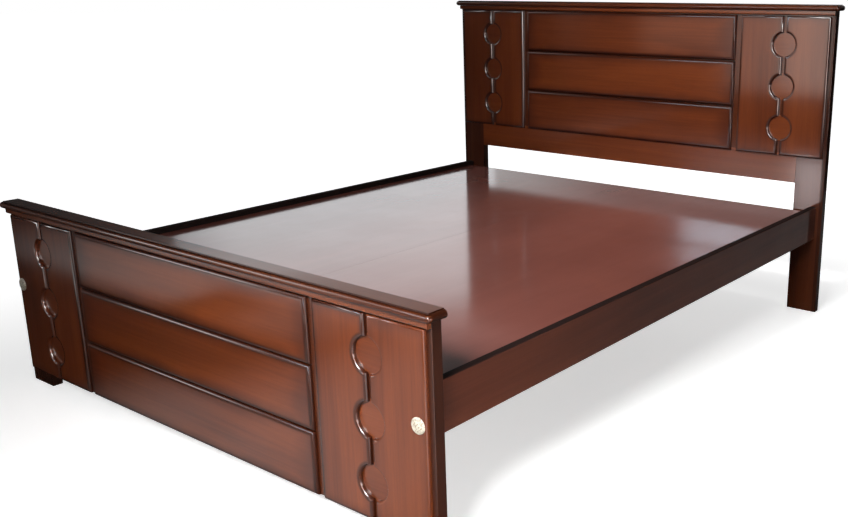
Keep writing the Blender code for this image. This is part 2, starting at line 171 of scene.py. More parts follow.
def parts_of(tree, vector):
    """X, Y and Z of a vector."""
    return add_node(tree, "ShaderNodeSeparateXYZ", {0: vector}).outputs


def object_place(tree):
    """Object coordinates."""
    return add_node(tree, "ShaderNodeTexCoord").outputs["Object"]


def mark_on_piece(tree, name):
    """Value of a mark that the finished pieces carry."""
    return add_node(tree, "ShaderNodeAttribute", attribute_name=name).outputs["Fac"]


def new_group(name, inputs, outputs, kind="ShaderNodeTree"):
    """Node group with named sockets; returns the tree and the sockets of its input and output nodes."""
    tree = bpy.data.node_groups.new(name, kind)
    for label, socket_kind, value in inputs:
        socket = tree.interface.new_socket(label, in_out="INPUT", socket_type=socket_kind)
        if value is not None:
            socket.default_value = value
    for label, socket_kind in outputs:
        tree.interface.new_socket(label, in_out="OUTPUT", socket_type=socket_kind)
    entry = tree.nodes.new("NodeGroupInput")
    leave = tree.nodes.new("NodeGroupOutput")
    return tree, entry.outputs, leave.inputs


# Effects that several finishes share

def make_grain_group():
    """Wood grain along X: broad cloudy tone, soft figure, fine streaks and pores."""
    sockets = [
        ("Vector", "NodeSocketVector", None),
        ("Dark", "NodeSocketColor", (0.05, 0.01, 0.004, 1.0)),
        ("Light", "NodeSocketColor", (0.20, 0.06, 0.02, 1.0)),
        ("Cloud", "NodeSocketFloat", 0.6),
        ("Streaks", "NodeSocketFloat", 0.3),
        ("Pores", "NodeSocketFloat", 0.3),
    ]
    results = [("Colour", "NodeSocketColor"), ("Streak", "NodeSocketFloat")]
    tree, entry, leave = new_group("wood_grain", sockets, results)
    place = entry["Vector"]
    cloud = noise(tree, stretch(tree, place, (1.1, 4.5, 4.5)), 1.0, 2.0, 0.5, 0.6)
    figure = noise(tree, stretch(tree, place, (1.3, 26.0, 26.0)), 1.0, 3.0, 0.55, 1.2)
    streak = noise(tree, stretch(tree, place, (3.0, 150.0, 150.0)), 1.0, 3.0, 0.6, 0.4)
    pore = noise(tree, stretch(tree, place, (30.0, 900.0, 900.0)), 1.0, 2.0, 0.5)
    lines = math_node(tree, "MULTIPLY", figure, 0.6)
    lines = math_node(tree, "ADD", lines, math_node(tree, "MULTIPLY", streak, 0.4))
    lines = math_node(tree, "SUBTRACT", lines, 0.5)
    broad = math_node(tree, "SUBTRACT", cloud, 0.5)
    shade = math_node(tree, "MULTIPLY", broad, entry["Cloud"])
    shade = math_node(tree, "ADD", shade, math_node(tree, "MULTIPLY", lines, entry["Streaks"]))
    shade = math_node(tree, "ADD", shade, 0.5, clamp=True)
    colour = mix_colours(tree, shade, entry["Dark"], entry["Light"])
    pore_depth = math_node(tree, "MULTIPLY", remap(tree, pore, 0.58, 0.70, 0.0, 1.0), entry["Pores"])
    colour = mix_colours(tree, pore_depth, colour, entry["Dark"])
    join(tree, colour, leave["Colour"])
    join(tree, streak, leave["Streak"])
    return tree


def make_burst_group():
    """Stain that darkens towards the edges of a board, from the board's own map."""
    sockets = [
        ("Map", "NodeSocketVector", None),
        ("Place", "NodeSocketVector", None),
        ("Side Width", "NodeSocketFloat", 0.12),
        ("End Width", "NodeSocketFloat", 0.25),
    ]
    tree, entry, leave = new_group("edge_burst", sockets, [("Mask", "NodeSocketFloat")])
    on_board = parts_of(tree, entry["Map"])
    reaches = []
    for axis, width in (("X", entry["Side Width"]), ("Y", entry["End Width"])):
        away = math_node(tree, "ABSOLUTE", math_node(tree, "SUBTRACT", on_board[axis], 0.5))
        inside = math_node(tree, "SUBTRACT", 0.5, away)
        reaches.append(math_node(tree, "DIVIDE", inside, width))
    nearest = math_node(tree, "MINIMUM", *reaches)
    cloud = math_node(tree, "SUBTRACT", noise(tree, entry["Place"], 7.0, 2.0), 0.5)
    nearest = math_node(tree, "ADD", nearest, math_node(tree, "MULTIPLY", cloud, 0.9))
    join(tree, remap(tree, nearest, 0.0, 1.0, 1.0, 0.0), leave["Mask"])
    return tree


def make_lacquer_group():
    """Sprayed lacquer: long waves from brushing out, fine orange peel, and uneven gloss."""
    sockets = [
        ("Place", "NodeSocketVector", None),
        ("Wave", "NodeSocketFloat", 0.6),
        ("Peel", "NodeSocketFloat", 0.2),
    ]
    results = [("Height", "NodeSocketFloat"), ("Haze", "NodeSocketFloat")]
    tree, entry, leave = new_group("lacquer_skin", sockets, results)
    wave = noise(tree, entry["Place"], 9.0, 1.0)
    peel = noise(tree, entry["Place"], 240.0, 1.0)
    haze = noise(tree, entry["Place"], 3.5, 3.0)
    height = math_node(tree, "MULTIPLY", wave, entry["Wave"])
    height = math_node(tree, "ADD", height, math_node(tree, "MULTIPLY", peel, entry["Peel"]))
    join(tree, height, leave["Height"])
    join(tree, haze, leave["Haze"])
    return tree


grain_group = make_grain_group()
burst_group = make_burst_group()
lacquer_group = make_lacquer_group()


def use_group(tree, group, values):
    """Place a shared effect in a material with its own values."""
    return add_node(tree, "ShaderNodeGroup", values, node_tree=group)


def grain_place(tree, grain_axis):
    """Object coordinates, and the same shifted for each piece and turned so that X runs along the grain."""
    where = object_place(tree)
    shift = add_node(tree, "ShaderNodeAttribute", attribute_name="grain_shift").outputs["Vector"]
    moved = add_node(tree, "ShaderNodeVectorMath", {0: where, 1: shift}, operation="ADD")
    split = parts_of(tree, moved.outputs[0])
    order = {"x": "XYZ", "y": "YXZ", "z": "ZXY"}[grain_axis]
    return where, vector_of(tree, *(split[axis] for axis in order))


def start_material(name):
    """Empty node material; returns the material, its tree and its Principled shader."""
    material = bpy.data.materials.new(name)
    material.use_nodes = True
    return material, material.node_tree, material.node_tree.nodes["Principled BSDF"]


def lacquered_wood(
    name, grain_axis, stain, burst=None, cloud=1.2, streaks=0.9,
    gloss=(1.0, 0.10, 1.5), edge_cover=1.0, raw=False,
):
    """Stained wood under clear lacquer, darker towards the edges of a board where burst is given.

    The gloss holds the coat's weight, roughness and refraction. The marked edges are darker, partly from the
    stain that worked edges soak up and partly from painted shade in grooves, slots, gaps and recesses, on
    post sides and on the cap's nose, and keep the share of the coat that edge_cover gives. Where raw is set,
    faces marked as raw are dark and dull.
    """
    material, tree, shader = start_material(name)
    where, along = grain_place(tree, grain_axis)
    dark, light = ((*colour, 1.0) for colour in stain)
    values = {"Dark": dark, "Light": light, "Cloud": cloud, "Streaks": streaks, "Pores": 0.25}
    colour = use_group(tree, grain_group, {"Vector": along, **values}).outputs["Colour"]
    if burst:
        depth, side_width, end_width = burst
        board_map = add_node(tree, "ShaderNodeUVMap", uv_map="board").outputs[0]
        values = {"Side Width": side_width, "End Width": end_width}
        edge = use_group(tree, burst_group, {"Map": board_map, "Place": where, **values})
        amount = math_node(tree, "MULTIPLY", edge.outputs["Mask"], depth)
        colour = mix_colours(tree, amount, colour, dark)
    # Darkening from the edge mark: stain soaked into worked edges, and painted shade in grooves, slots, gaps
    # and recesses
    stain_and_shade = mark_on_piece(tree, "worked_edge")
    stain_and_shade_depth = math_node(tree, "MULTIPLY", stain_and_shade, 0.75)
    colour = mix_colours(tree, stain_and_shade_depth, colour, tuple(0.35 * part for part in stain[0]) + (1.0,))
    skin = use_group(tree, lacquer_group, {"Place": where, "Wave": 0.6, "Peel": 0.05})
    haze = remap(tree, skin.outputs["Haze"], 0.3, 0.7, 0.40, 0.55)
    cover = gloss[0]
    if raw:
        bare = mark_on_piece(tree, "raw_face")
        colour = mix_colours(tree, bare, colour, raw_stain)
        haze = math_node(tree, "MAXIMUM", haze, math_node(tree, "MULTIPLY", bare, 0.8))
        cover = math_node(tree, "MULTIPLY", math_node(tree, "SUBTRACT", 1.0, bare), cover)
    elif edge_cover < 1.0:
        rubbed = math_node(tree, "MULTIPLY", stain_and_shade, cover * (1.0 - edge_cover))
        cover = math_node(tree, "SUBTRACT", cover, rubbed)
    height = skin.outputs["Height"]
    bump = add_node(tree, "ShaderNodeBump", {"Strength": 0.10, "Distance": 0.002, "Height": height})
    feed(tree, shader, {
        "Base Color": colour,
        "Roughness": haze,
        "Specular IOR Level": 0.05,
        "Normal": bump.outputs[0],
        "Coat Weight": cover,
        "Coat Roughness": gloss[1],
        "Coat IOR": gloss[2],
        "Coat Normal": bump.outputs[0],
    })
    return material


def bare_wood(name, grain_axis):
    """Planed softwood without lacquer."""
    material, tree, shader = start_material(name)
    values = {"Dark": pine_dark, "Light": pine_light, "Cloud": 0.8, "Streaks": 1.4, "Pores": 0.2}
    grain = use_group(tree, grain_group, {"Vector": grain_place(tree, grain_axis)[1], **values})
    streak = grain.outputs["Streak"]
    bump = add_node(tree, "ShaderNodeBump", {"Strength": 0.25, "Distance": 0.001, "Height": streak})
    feed(tree, shader, {
        "Base Color": grain.outputs["Colour"],
        "Roughness": remap(tree, streak, 0.3, 0.7, 0.55, 0.75),
        "Normal": bump.outputs[0],
    })
    return material


def zinc_steel():
    """Bright zinc plate with a faint brushed cloudiness."""
    material, tree, shader = start_material("zinc_steel")
    cloud = noise(tree, object_place(tree), 180.0, 3.0)
    feed(tree, shader, {
        "Base Color": mix_colours(tree, cloud, (0.50, 0.50, 0.48, 1.0), (0.66, 0.66, 0.64, 1.0)),
        "Roughness": remap(tree, cloud, 0.3, 0.7, 0.28, 0.45),
        "Metallic": 1.0,
    })
    return material


def ivory_plastic():
    """Moulded ivory plastic with slight yellowing, dark specks and a fine grain."""
    material, tree, shader = start_material("ivory_plastic")
    where = object_place(tree)
    age = noise(tree, where, 60.0, 3.0)
    tint = mix_colours(tree, age, (0.54, 0.49, 0.38, 1.0), (0.72, 0.68, 0.57, 1.0))
    speck = remap(tree, noise(tree, where, 260.0, 2.0, 0.6), 0.50, 0.60, 0.0, 0.85)
    grain = noise(tree, where, 900.0)
    bump = add_node(tree, "ShaderNodeBump", {"Strength": 0.1, "Distance": 0.0005, "Height": grain})
    feed(tree, shader, {
        "Base Color": mix_colours(tree, speck, tint, (0.25, 0.17, 0.10, 1.0)),
        "Roughness": remap(tree, age, 0.3, 0.7, 0.32, 0.45),
        "Normal": bump.outputs[0],
    })
    return material


# Stains, each from dark to light
mahogany_stain = ((0.060, 0.0108, 0.0030), (0.220, 0.049, 0.0105))
rail_stain = ((0.055, 0.0130, 0.0065), (0.150, 0.0400, 0.0190))
cap_stain = ((0.035, 0.0070, 0.0028), (0.115, 0.0280, 0.0085))
post_stain = ((0.034, 0.0065, 0.0025), (0.110, 0.0260, 0.0070))
platform_stain = ((0.180, 0.056, 0.043), (0.280, 0.094, 0.072))
raw_stain = (0.016, 0.0075, 0.006, 1.0)
pine_dark = (0.330, 0.190, 0.090, 1.0)
pine_light = (0.560, 0.390, 0.220, 1.0)
platform_gloss = (1.0, 0.12, 1.55)

finishes = {
    "plank": lacquered_wood("lacquered_plank", "x", mahogany_stain, (0.75, 0.10, 0.25), edge_cover=0.5),
    "upright": lacquered_wood("lacquered_upright", "z", mahogany_stain, (0.50, 0.16, 0.07)),
    "across": lacquered_wood("lacquered_cross_rail", "x", mahogany_stain),
    "cap": lacquered_wood("lacquered_cap", "x", cap_stain, gloss=(0.70, 0.10, 1.36)),
    "post": lacquered_wood("lacquered_post", "z", post_stain, edge_cover=0.45),
    "side_rail": lacquered_wood("dark_side_rail", "y", rail_stain, gloss=(0.9, 0.10, 1.38), raw=True),
    "platform": lacquered_wood("lacquered_platform", "y", platform_stain, None, 0.9, 0.5, platform_gloss),
    "batten": bare_wood("bare_batten", "y"),
    "bearer": bare_wood("bare_bearer", "x"),
    "leg": bare_wood("bare_leg", "z"),
    "steel": zinc_steel(),
    "plastic": ivory_plastic(),
}


# Geometry that follows a rule

def new_shape_tree(name, inputs):
    """Geometry node tree with named inputs; returns the tree, its inputs and its output."""
    tree, entry, leave = new_group(name, inputs, [("Geometry", "NodeSocketGeometry")], "GeometryNodeTree")
    return tree, entry, leave["Geometry"]


def choose(tree, test, if_true, if_false):
    """Number picked by a test that is 1 or 0; returns the result."""
    operands = {"Switch": test, "True": if_true, "False": if_false}
    return add_node(tree, "GeometryNodeSwitch", operands, input_type="FLOAT").outputs[0]


def end_tree(tree, geometry, material, leave):
    """Realize instances, set the material and hand the geometry out."""
    real = add_node(tree, "GeometryNodeRealizeInstances", {0: geometry})
    coated = add_node(tree, "GeometryNodeSetMaterial", {"Geometry": real.outputs[0], "Material": material})
    join(tree, coated.outputs[0], leave)


def make_scallop_tree():
    """Board with a row of half circles cut into one edge, rounded all round its front.

    A grid is wrapped round the board: its columns follow the outline and its rows follow the rounded edge.
    """
    tree, entry, leave = new_shape_tree("scalloped_board", [
        ("Slot Middle", "NodeSocketVector", None),
        ("Into Wood", "NodeSocketFloat", 1.0),
        ("Slot Width", "NodeSocketFloat", slot_width),
        ("Board Reach", "NodeSocketFloat", 0.16),
        ("Board Height", "NodeSocketFloat", 0.46),
        ("Board Thickness", "NodeSocketFloat", 0.01),
        ("Circle Radius", "NodeSocketFloat", circle_radius),
        ("Circle Spacing", "NodeSocketFloat", circle_spacing),
        ("Circle Count", "NodeSocketInt", circle_count),
        ("Arc Steps", "NodeSocketInt", arc_steps),
        ("Edge Round", "NodeSocketFloat", board_round),
        ("Round Steps", "NodeSocketInt", round_steps),
        ("Material", "NodeSocketMaterial", None),
    ])

    def calc(operation, first, second=None):
        return math_node(tree, operation, first, second)

    def here():
        return parts_of(tree, add_node(tree, "GeometryNodeInputPosition").outputs[0])

    # Grid of columns round the outline, the last on the first, and of rows from the front to the back
    arc_points = calc("ADD", entry["Arc Steps"], 1.0)
    last_column = calc("ADD", calc("MULTIPLY", arc_points, entry["Circle Count"]), 4.0)
    last_row = calc("ADD", entry["Round Steps"], 1.0)
    grid = add_node(tree, "GeometryNodeMeshGrid")
    for kind, last in (("X", last_column), ("Y", last_row)):
        feed(tree, grid, {"Size " + kind: last, "Vertices " + kind: calc("ADD", last, 1.0)})
    at = here()
    column = calc("ROUND", calc("ADD", at["X"], calc("MULTIPLY", last_column, 0.5)))
    row = calc("ROUND", calc("ADD", at["Y"], calc("MULTIPLY", last_row, 0.5)))

    # How far each row is set in from the outline, and how deep it lies behind the front
    turn = calc("MULTIPLY", calc("DIVIDE", row, entry["Round Steps"]), pi / 2)
    is_back = calc("GREATER_THAN", row, calc("SUBTRACT", last_row, 0.5))
    rounding = calc("MULTIPLY", entry["Edge Round"], calc("SUBTRACT", 1.0, calc("SINE", turn)))
    inset = choose(tree, is_back, 0.0, rounding)
    hollow = calc("MULTIPLY", entry["Edge Round"], calc("SUBTRACT", 1.0, calc("COSINE", turn)))
    depth = choose(tree, is_back, entry["Board Thickness"], hollow)

    # Points on the half circles
    along = calc("SUBTRACT", column, 2.0)
    circle = calc("FLOOR", calc("DIVIDE", along, arc_points))
    step = calc("SUBTRACT", along, calc("MULTIPLY", circle, arc_points))
    half_slot = calc("ADD", calc("MULTIPLY", entry["Slot Width"], 0.5), inset)
    radius = calc("ADD", entry["Circle Radius"], inset)
    half_angle = calc("ARCCOSINE", calc("DIVIDE", half_slot, radius))
    swing = calc("SUBTRACT", calc("DIVIDE", calc("MULTIPLY", step, 2.0), entry["Arc Steps"]), 1.0)
    swing = calc("MULTIPLY", swing, half_angle)
    from_middle = calc("MULTIPLY", calc("SUBTRACT", entry["Circle Count"], 1.0), 0.5)
    circle_height = calc("MULTIPLY", calc("SUBTRACT", circle, from_middle), entry["Circle Spacing"])
    arc_across = calc("MULTIPLY", radius, calc("COSINE", swing))
    arc_height = calc("ADD", circle_height, calc("MULTIPLY", radius, calc("SINE", swing)))

    # The four corners of the board
    to_last = calc("SUBTRACT", last_column, column)
    is_plain = calc("MAXIMUM", calc("LESS_THAN", column, 0.5), calc("LESS_THAN", to_last, 1.5))
    is_bottom = calc("MAXIMUM", calc("LESS_THAN", column, 1.5), calc("LESS_THAN", to_last, 0.5))
    is_corner = calc("MAXIMUM", is_bottom, calc("LESS_THAN", to_last, 2.5))
    corner_across = choose(tree, is_plain, calc("SUBTRACT", entry["Board Reach"], inset), half_slot)
    top = calc("SUBTRACT", calc("MULTIPLY", entry["Board Height"], 0.5), inset)
    corner_height = choose(tree, is_bottom, calc("MULTIPLY", top, -1.0), top)
    across = choose(tree, is_corner, corner_across, arc_across)
    height = choose(tree, is_corner, corner_height, arc_height)
    wrapped = add_node(tree, "GeometryNodeSetPosition", {
        "Geometry": grid.outputs["Mesh"],
        "Position": vector_of(tree, across, height, depth),
    }).outputs[0]
    merged = add_node(tree, "GeometryNodeMergeByDistance", {"Geometry": wrapped, "Distance": tiny}).outputs[0]

    # Flat front and back, filled between the open rims
    neighbours = add_node(tree, "GeometryNodeInputMeshEdgeNeighbors").outputs[0]
    is_rim = calc("LESS_THAN", neighbours, 1.5)
    level = here()["Z"]
    middle = calc("MULTIPLY", entry["Board Thickness"], 0.5)
    closed = add_node(tree, "GeometryNodeJoinGeometry", {0: merged})
    for comparison, lift in (("LESS_THAN", 0.0), ("GREATER_THAN", 1.0)):
        is_wanted = calc("MULTIPLY", is_rim, calc(comparison, level, middle))
        rim = add_node(tree, "GeometryNodeMeshToCurve", {"Mesh": merged, "Selection": is_wanted})
        flat = add_node(tree, "GeometryNodeFillCurve", {"Curve": rim.outputs[0]}, mode="NGONS")
        rise = vector_of(tree, 0.0, 0.0, calc("MULTIPLY", entry["Board Thickness"], lift))
        moved = add_node(tree, "GeometryNodeTransform", {"Geometry": flat.outputs[0], "Translation": rise})
        join(tree, moved.outputs[0], closed.inputs[0])
    whole = add_node(tree, "GeometryNodeMergeByDistance", {"Geometry": closed.outputs[0], "Distance": tiny})

    # The board stands up beside its slot
    lying = here()
    sideways = calc("MULTIPLY", lying["X"], entry["Into Wood"])
    upright = vector_of(tree, sideways, lying["Z"], lying["Y"])
    raised = add_node(tree, "ShaderNodeVectorMath", {0: upright, 1: entry["Slot Middle"]}, operation="ADD")
    stood = add_node(tree, "GeometryNodeSetPosition", {
        "Geometry": whole.outputs[0],
        "Position": raised.outputs[0],
    })
    end_tree(tree, stood.outputs[0], entry["Material"], leave)
    return tree


def make_screw_tree():
    """Row of domed screw heads with a cross recess, sunk to half their round in the wood."""
    tree, entry, leave = new_shape_tree("screw_row", [
        ("Start", "NodeSocketVector", None),
        ("End", "NodeSocketVector", None),
        ("Count", "NodeSocketInt", 5),
        ("Facing", "NodeSocketVector", None),
        ("Head Radius", "NodeSocketFloat", screw_head_radius),
        ("Head Height", "NodeSocketFloat", screw_head_height),
        ("Recess Width", "NodeSocketFloat", screw_recess),
        ("Material", "NodeSocketMaterial", None),
    ])
    head_radius = entry["Head Radius"]
    head_height = entry["Head Height"]
    dome = add_node(tree, "GeometryNodeMeshUVSphere", {"Segments": 24, "Rings": 12, "Radius": head_radius})
    squat = math_node(tree, "DIVIDE", head_height, head_radius)
    flattened = add_node(tree, "GeometryNodeTransform", {
        "Geometry": dome.outputs["Mesh"],
        "Scale": vector_of(tree, 1.0, 1.0, squat),
    })
    recessed = add_node(tree, "GeometryNodeMeshBoolean", operation="DIFFERENCE", solver="EXACT")
    join(tree, flattened.outputs[0], recessed.inputs["Mesh 1"])
    reach = math_node(tree, "MULTIPLY", head_radius, 1.1)
    for length, width in ((reach, entry["Recess Width"]), (entry["Recess Width"], reach)):
        size = vector_of(tree, length, width, head_height)
        arm = add_node(tree, "GeometryNodeMeshCube", {"Size": size})
        lifted = add_node(tree, "GeometryNodeTransform", {
            "Geometry": arm.outputs["Mesh"],
            "Translation": vector_of(tree, 0.0, 0.0, head_height),
        })
        join(tree, lifted.outputs[0], recessed.inputs["Mesh 2"])
    ends = {"Count": entry["Count"], "Start Location": entry["Start"], "Offset": entry["End"]}
    row = add_node(tree, "GeometryNodeMeshLine", ends, mode="END_POINTS")
    turned = add_node(tree, "FunctionNodeAlignRotationToVector", {"Vector": entry["Facing"]}, axis="Z")
    heads = add_node(tree, "GeometryNodeInstanceOnPoints", {
        "Points": row.outputs["Mesh"],
        "Instance": recessed.outputs["Mesh"],
        "Rotation": turned.outputs[0],
    })
    end_tree(tree, heads.outputs[0], entry["Material"], leave)
    return tree


scallop_tree = make_scallop_tree()
screw_tree = make_screw_tree()


def grow(tree, values):
    """Run a geometry node tree with its own values; returns the shape that it makes."""
    item = bpy.data.objects.new(tree.name, bpy.data.meshes.new(tree.name))
    bpy.context.scene.collection.objects.link(item)
    change = item.modifiers.new(tree.name, "NODES")
    change.node_group = tree
    for socket in tree.interface.items_tree:
        if socket.in_out == "INPUT" and socket.name in values:
            change[socket.identifier] = values[socket.name]
    graph = bpy.context.evaluated_depsgraph_get()
    mesh = bpy.data.meshes.new_from_object(item.evaluated_get(graph), depsgraph=graph)
    shape = bmesh.new()
    shape.from_mesh(mesh)
    bpy.data.objects.remove(item)
    bpy.data.meshes.remove(mesh)
    return shape


# Making pieces

def bevel_edges(shape, edges, radius, segments=round_steps):
    """Round the given edges."""
    bmesh.ops.bevel(
        shape,
        geom=edges,
        offset=radius,
        offset_type="OFFSET",
        segments=segments,
        profile=0.5,
        affect="EDGES",
        clamp_overlap=True,
    )


def add_box(shape, low, high):
    """Plain box between two corners."""
    size = [b - a for a, b in zip(low, high)]
    middle = [(a + b) / 2 for a, b in zip(low, high)]
    bmesh.ops.create_cube(shape, size=1.0, matrix=Matrix.Translation(middle) @ Matrix.Diagonal((*size, 1.0)))


def front_edges(shape, front_y):
    """Edges that lie in the plane of the front."""
    return [edge for edge in shape.edges if all(abs(v.co.y - front_y) < tiny for v in edge.verts)]


def add_rings(shape, rings):
    """Skin closed rings of equal point count, with a flat face at each end."""
    loops = [[shape.verts.new(point) for point in ring] for ring in rings]
    count = len(loops[0])
    for below, above in zip(loops, loops[1:]):
        for i in range(count):
            k = (i + 1) % count
            shape.faces.new((below[i], below[k], above[k], above[i]))
    shape.faces.new(loops[0])
    shape.faces.new(loops[-1])


def copy_solid(node, arris):
    """Merged copy of a solid, with its sharp edges slightly rounded."""
    shape = bmesh.new()
    shape.from_mesh(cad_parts[node].data)
    bmesh.ops.remove_doubles(shape, verts=shape.verts, dist=tiny)
    bmesh.ops.dissolve_limit(shape, angle_limit=flat_angle, verts=shape.verts, edges=shape.edges)
    if arris > 0.0:
        sharp = [edge for edge in shape.edges if edge.is_manifold and edge.calc_face_angle() > arris_angle]
        bevel_edges(shape, sharp, arris, 2)
    return shape


piece_count = 0


def mark_front(shape, front_y, band):
    """Inset the flat front by a band; returns the points of what is left of the front."""
    flat = [face for face in shape.faces if all(abs(v.co.y - front_y) < tiny for v in face.verts)]
    bmesh.ops.inset_region(shape, faces=flat, thickness=band, use_even_offset=True)
    return {vert for face in flat for vert in face.verts}


def finish_piece(
    node, shape, finish, stain_and_shade_width=0.0, shaded_point_test=None, raw_test=None, shaded_face_test=None,
):
    """Turn a bmesh into the piece that stands for a solid, with its board map, grain shift and even shading.

    Where a band is given, all but the flat front is marked as darker edge, for stain that worked edges soak
    up and for painted shade in grooves and slots, with a soft change over that band. The points that the
    point test picks get the same mark, the faces that the face test picks get painted shade, and raw_test
    picks raw faces.
    """
    global piece_count
    piece_count += 1
    low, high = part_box(node)
    bmesh.ops.recalc_face_normals(shape, faces=shape.faces)
    board_map = shape.loops.layers.uv.new("board")
    shift_layer = shape.verts.layers.float_vector.new("grain_shift")
    shift = Vector([piece_count * step for step in grain_steps])
    # Mark for darker edges: stain soaked into worked edges, and painted shade
    stain_and_shade_layer = (shape.faces if shaded_face_test else shape.verts).layers.float.new("worked_edge")
    raw_layer = shape.faces.layers.float.new("raw_face")
    front = mark_front(shape, low[1], stain_and_shade_width) if stain_and_shade_width > 0.0 else None
    for vert in shape.verts:
        vert[shift_layer] = shift
        if (front and vert not in front) or (shaded_point_test and shaded_point_test(vert.co)):
            vert[stain_and_shade_layer] = 1.0
    for face in shape.faces:
        face.smooth = True
        if raw_test and raw_test(face):
            face[raw_layer] = 1.0
        # Faces that lie in shade get painted shade
        if shaded_face_test and shaded_face_test(face):
            face[stain_and_shade_layer] = shaded_face_weight
        for loop in face.loops:
            at = loop.vert.co
            u = (at.x - low[0]) / (high[0] - low[0])
            v = (at.z - low[2]) / (high[2] - low[2])
            loop[board_map].uv = (u, v)
    mesh = bpy.data.meshes.new(node + "_finished")
    shape.to_mesh(mesh)
    shape.free()
    mesh.set_sharp_from_angle(angle=sharp_angle)
    mesh.materials.append(finishes[finish])
    item = bpy.data.objects.new(node + "_finished", mesh)
    bpy.context.scene.collection.objects.link(item)
    even = item.modifiers.new("even", "WEIGHTED_NORMAL")
    even.keep_sharp = True
    graph = bpy.context.evaluated_depsgraph_get()
    item.data = bpy.data.meshes.new_from_object(item.evaluated_get(graph), depsgraph=graph)
    item.modifiers.clear()
    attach(item, "root")
    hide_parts(node)
    return item


def plain_piece(node, finish, arris=small_arris):
    """Piece with the shape of its solid, its sharp edges slightly rounded."""
    finish_piece(node, copy_solid(node, arris), finish)


def plank(node):
    """Plank with a round front arris on all four sides."""
    low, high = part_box(node)
    shape = bmesh.new()
    add_box(shape, low, high)
    bevel_edges(shape, front_edges(shape, low[1]), plank_round)
    finish_piece(node, shape, "plank", edge_stain_and_shade_band)


def upright_board(node, side, is_outer, stain_and_shade_width=edge_stain_and_shade_band):
    """Upright board with half circles cut into the edge beside the slot."""
    low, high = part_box(node)
    faces_right = is_outer == (side > 0)
    notched, plain = (low[0], high[0]) if faces_right else (high[0], low[0])
    into_wood = 1.0 if faces_right else -1.0
    middle = notched - into_wood * slot_width / 2
    shape = grow(scallop_tree, {
        "Slot Middle": (middle, low[1], (low[2] + high[2]) / 2),
        "Into Wood": into_wood,
        "Board Reach": abs(plain - middle),
        "Board Height": high[2] - low[2],
        "Board Thickness": high[1] - low[1],
        "Material": finishes["upright"],
    })
    # The board's edges and the walls of its half circles get stain and painted shade over the band
    finish_piece(node, shape, "upright", stain_and_shade_width)


def cap_profile(thickness):
    """Cap edge as (inset, height) pairs: half-round nose, quirk, and a slightly rounded top arris."""
    nose = (thickness - cap_quirk) / 2
    steps = 3 * round_steps
    profile = []
    for i in range(steps + 1):
        turn = pi * i / steps - pi / 2
        profile.append((nose * (1 - cos(turn)), nose * (1 + sin(turn))))
    for i in range(round_steps):
        turn = pi / 2 * i / (round_steps - 1)
        rise = thickness - cap_top_round * (1 - sin(turn))
        profile.append((nose + cap_top_round * (1 - cos(turn)), rise))
    profile.append((nose + cap_top_round + cap_shade_band, thickness))
    return profile


def cap(node):
    """Moulded cap with its profile along the front and round both front corners.

    The upper part of the nose, the quirk, the top arris and the ends are darkened with painted shade and a
    painted dark reflection.
    """
    low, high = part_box(node)
    rings = []
    for inset, height in cap_profile(high[2] - low[2]):
        x = high[0] - inset
        y = low[1] + inset
        z = low[2] + height
        radius = max(cap_corner_radius - inset, small_arris)
        ring = [(-x, high[1], z)]
        for side, start in ((-1, pi), (1, 1.5 * pi)):
            for i in range(2 * round_steps + 1):
                turn = start + pi / 4 * i / round_steps
                ring.append((side * (x - radius) + radius * cos(turn), y + radius + radius * sin(turn), z))
        ring.append((x, high[1], z))
        rings.append(ring)
    shape = bmesh.new()
    add_rings(shape, rings)
    nose = (high[2] - low[2] - cap_quirk) / 2

    def is_shaded(at):
        inset = min(high[0] - abs(at.x), at.y - low[1])
        on_top = inset > nose + cap_top_round + cap_shade_band / 2
        at_end = at.y > low[1] + cap_corner_radius - tiny
        return (at_end or at.z > low[2] + nose * (1 + sin(cap_shade_from))) and not on_top

    finish_piece(node, shape, "cap", shaded_point_test=is_shaded)


def cap_moulding(node):
    """Strip under the cap with a round lower edge."""
    low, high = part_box(node)
    shape = bmesh.new()
    add_box(shape, low, high)
    lower = [e for e in front_edges(shape, low[1]) if all(v.co.z < low[2] + tiny for v in e.verts)]
    bevel_edges(shape, lower, moulding_round)
    finish_piece(node, shape, "across")


def cut_across(shape, places, axis):
    """Divide a shape by planes across an axis, so that its strips can be stained apart."""
    direction = Vector([float(i == axis) for i in range(3)])
    for place in places:
        everything = shape.verts[:] + shape.edges[:] + shape.faces[:]
        bmesh.ops.bisect_plane(shape, geom=everything, plane_co=direction * place, plane_no=direction)


def post(node):
    """Post whose sides, and the strip beside the face boards, are darkened with painted shade."""
    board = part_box(node.replace("post", "outer_board"))
    edge = max(abs(board[0][0]), abs(board[1][0])) - small_arris
    shape = copy_solid(node, small_arris)
    cut_across(shape, (-edge, edge), 0)

    def is_side(face):
        return abs(face.normal.x) > 0.5 or abs(face.calc_center_median().x) > edge

    finish_piece(node, shape, "post", shaded_face_test=is_side)


def back_panel(node):
    """Thin panel behind the face boards, with painted shade everywhere but behind the circles, so that the
    slots between the circles look dark.
    """
    shape = copy_solid(node, 0.0)
    low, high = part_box(node.replace("back_panel", "right_outer_board"))
    slot_middle = low[0] - slot_width / 2
    window = circle_radius + edge_stain_and_shade_band
    middle = (low[2] + high[2]) / 2
    steps = [i - (circle_count - 1) / 2 for i in range(circle_count)]
    heights = [middle + circle_spacing * step for step in steps]
    cut_across(shape, [side * (slot_middle + step) for side in (-1, 1) for step in (-window, window)], 0)
    cut_across(shape, [height + step for height in heights for step in (-window, window)], 2)

    def is_in_painted_shade(face):
        at = face.calc_center_median()
        beside = abs(abs(at.x) - slot_middle) > window
        return beside or min(abs(at.z - height) for height in heights) > window

    finish_piece(node, shape, "across", shaded_face_test=is_in_painted_shade)


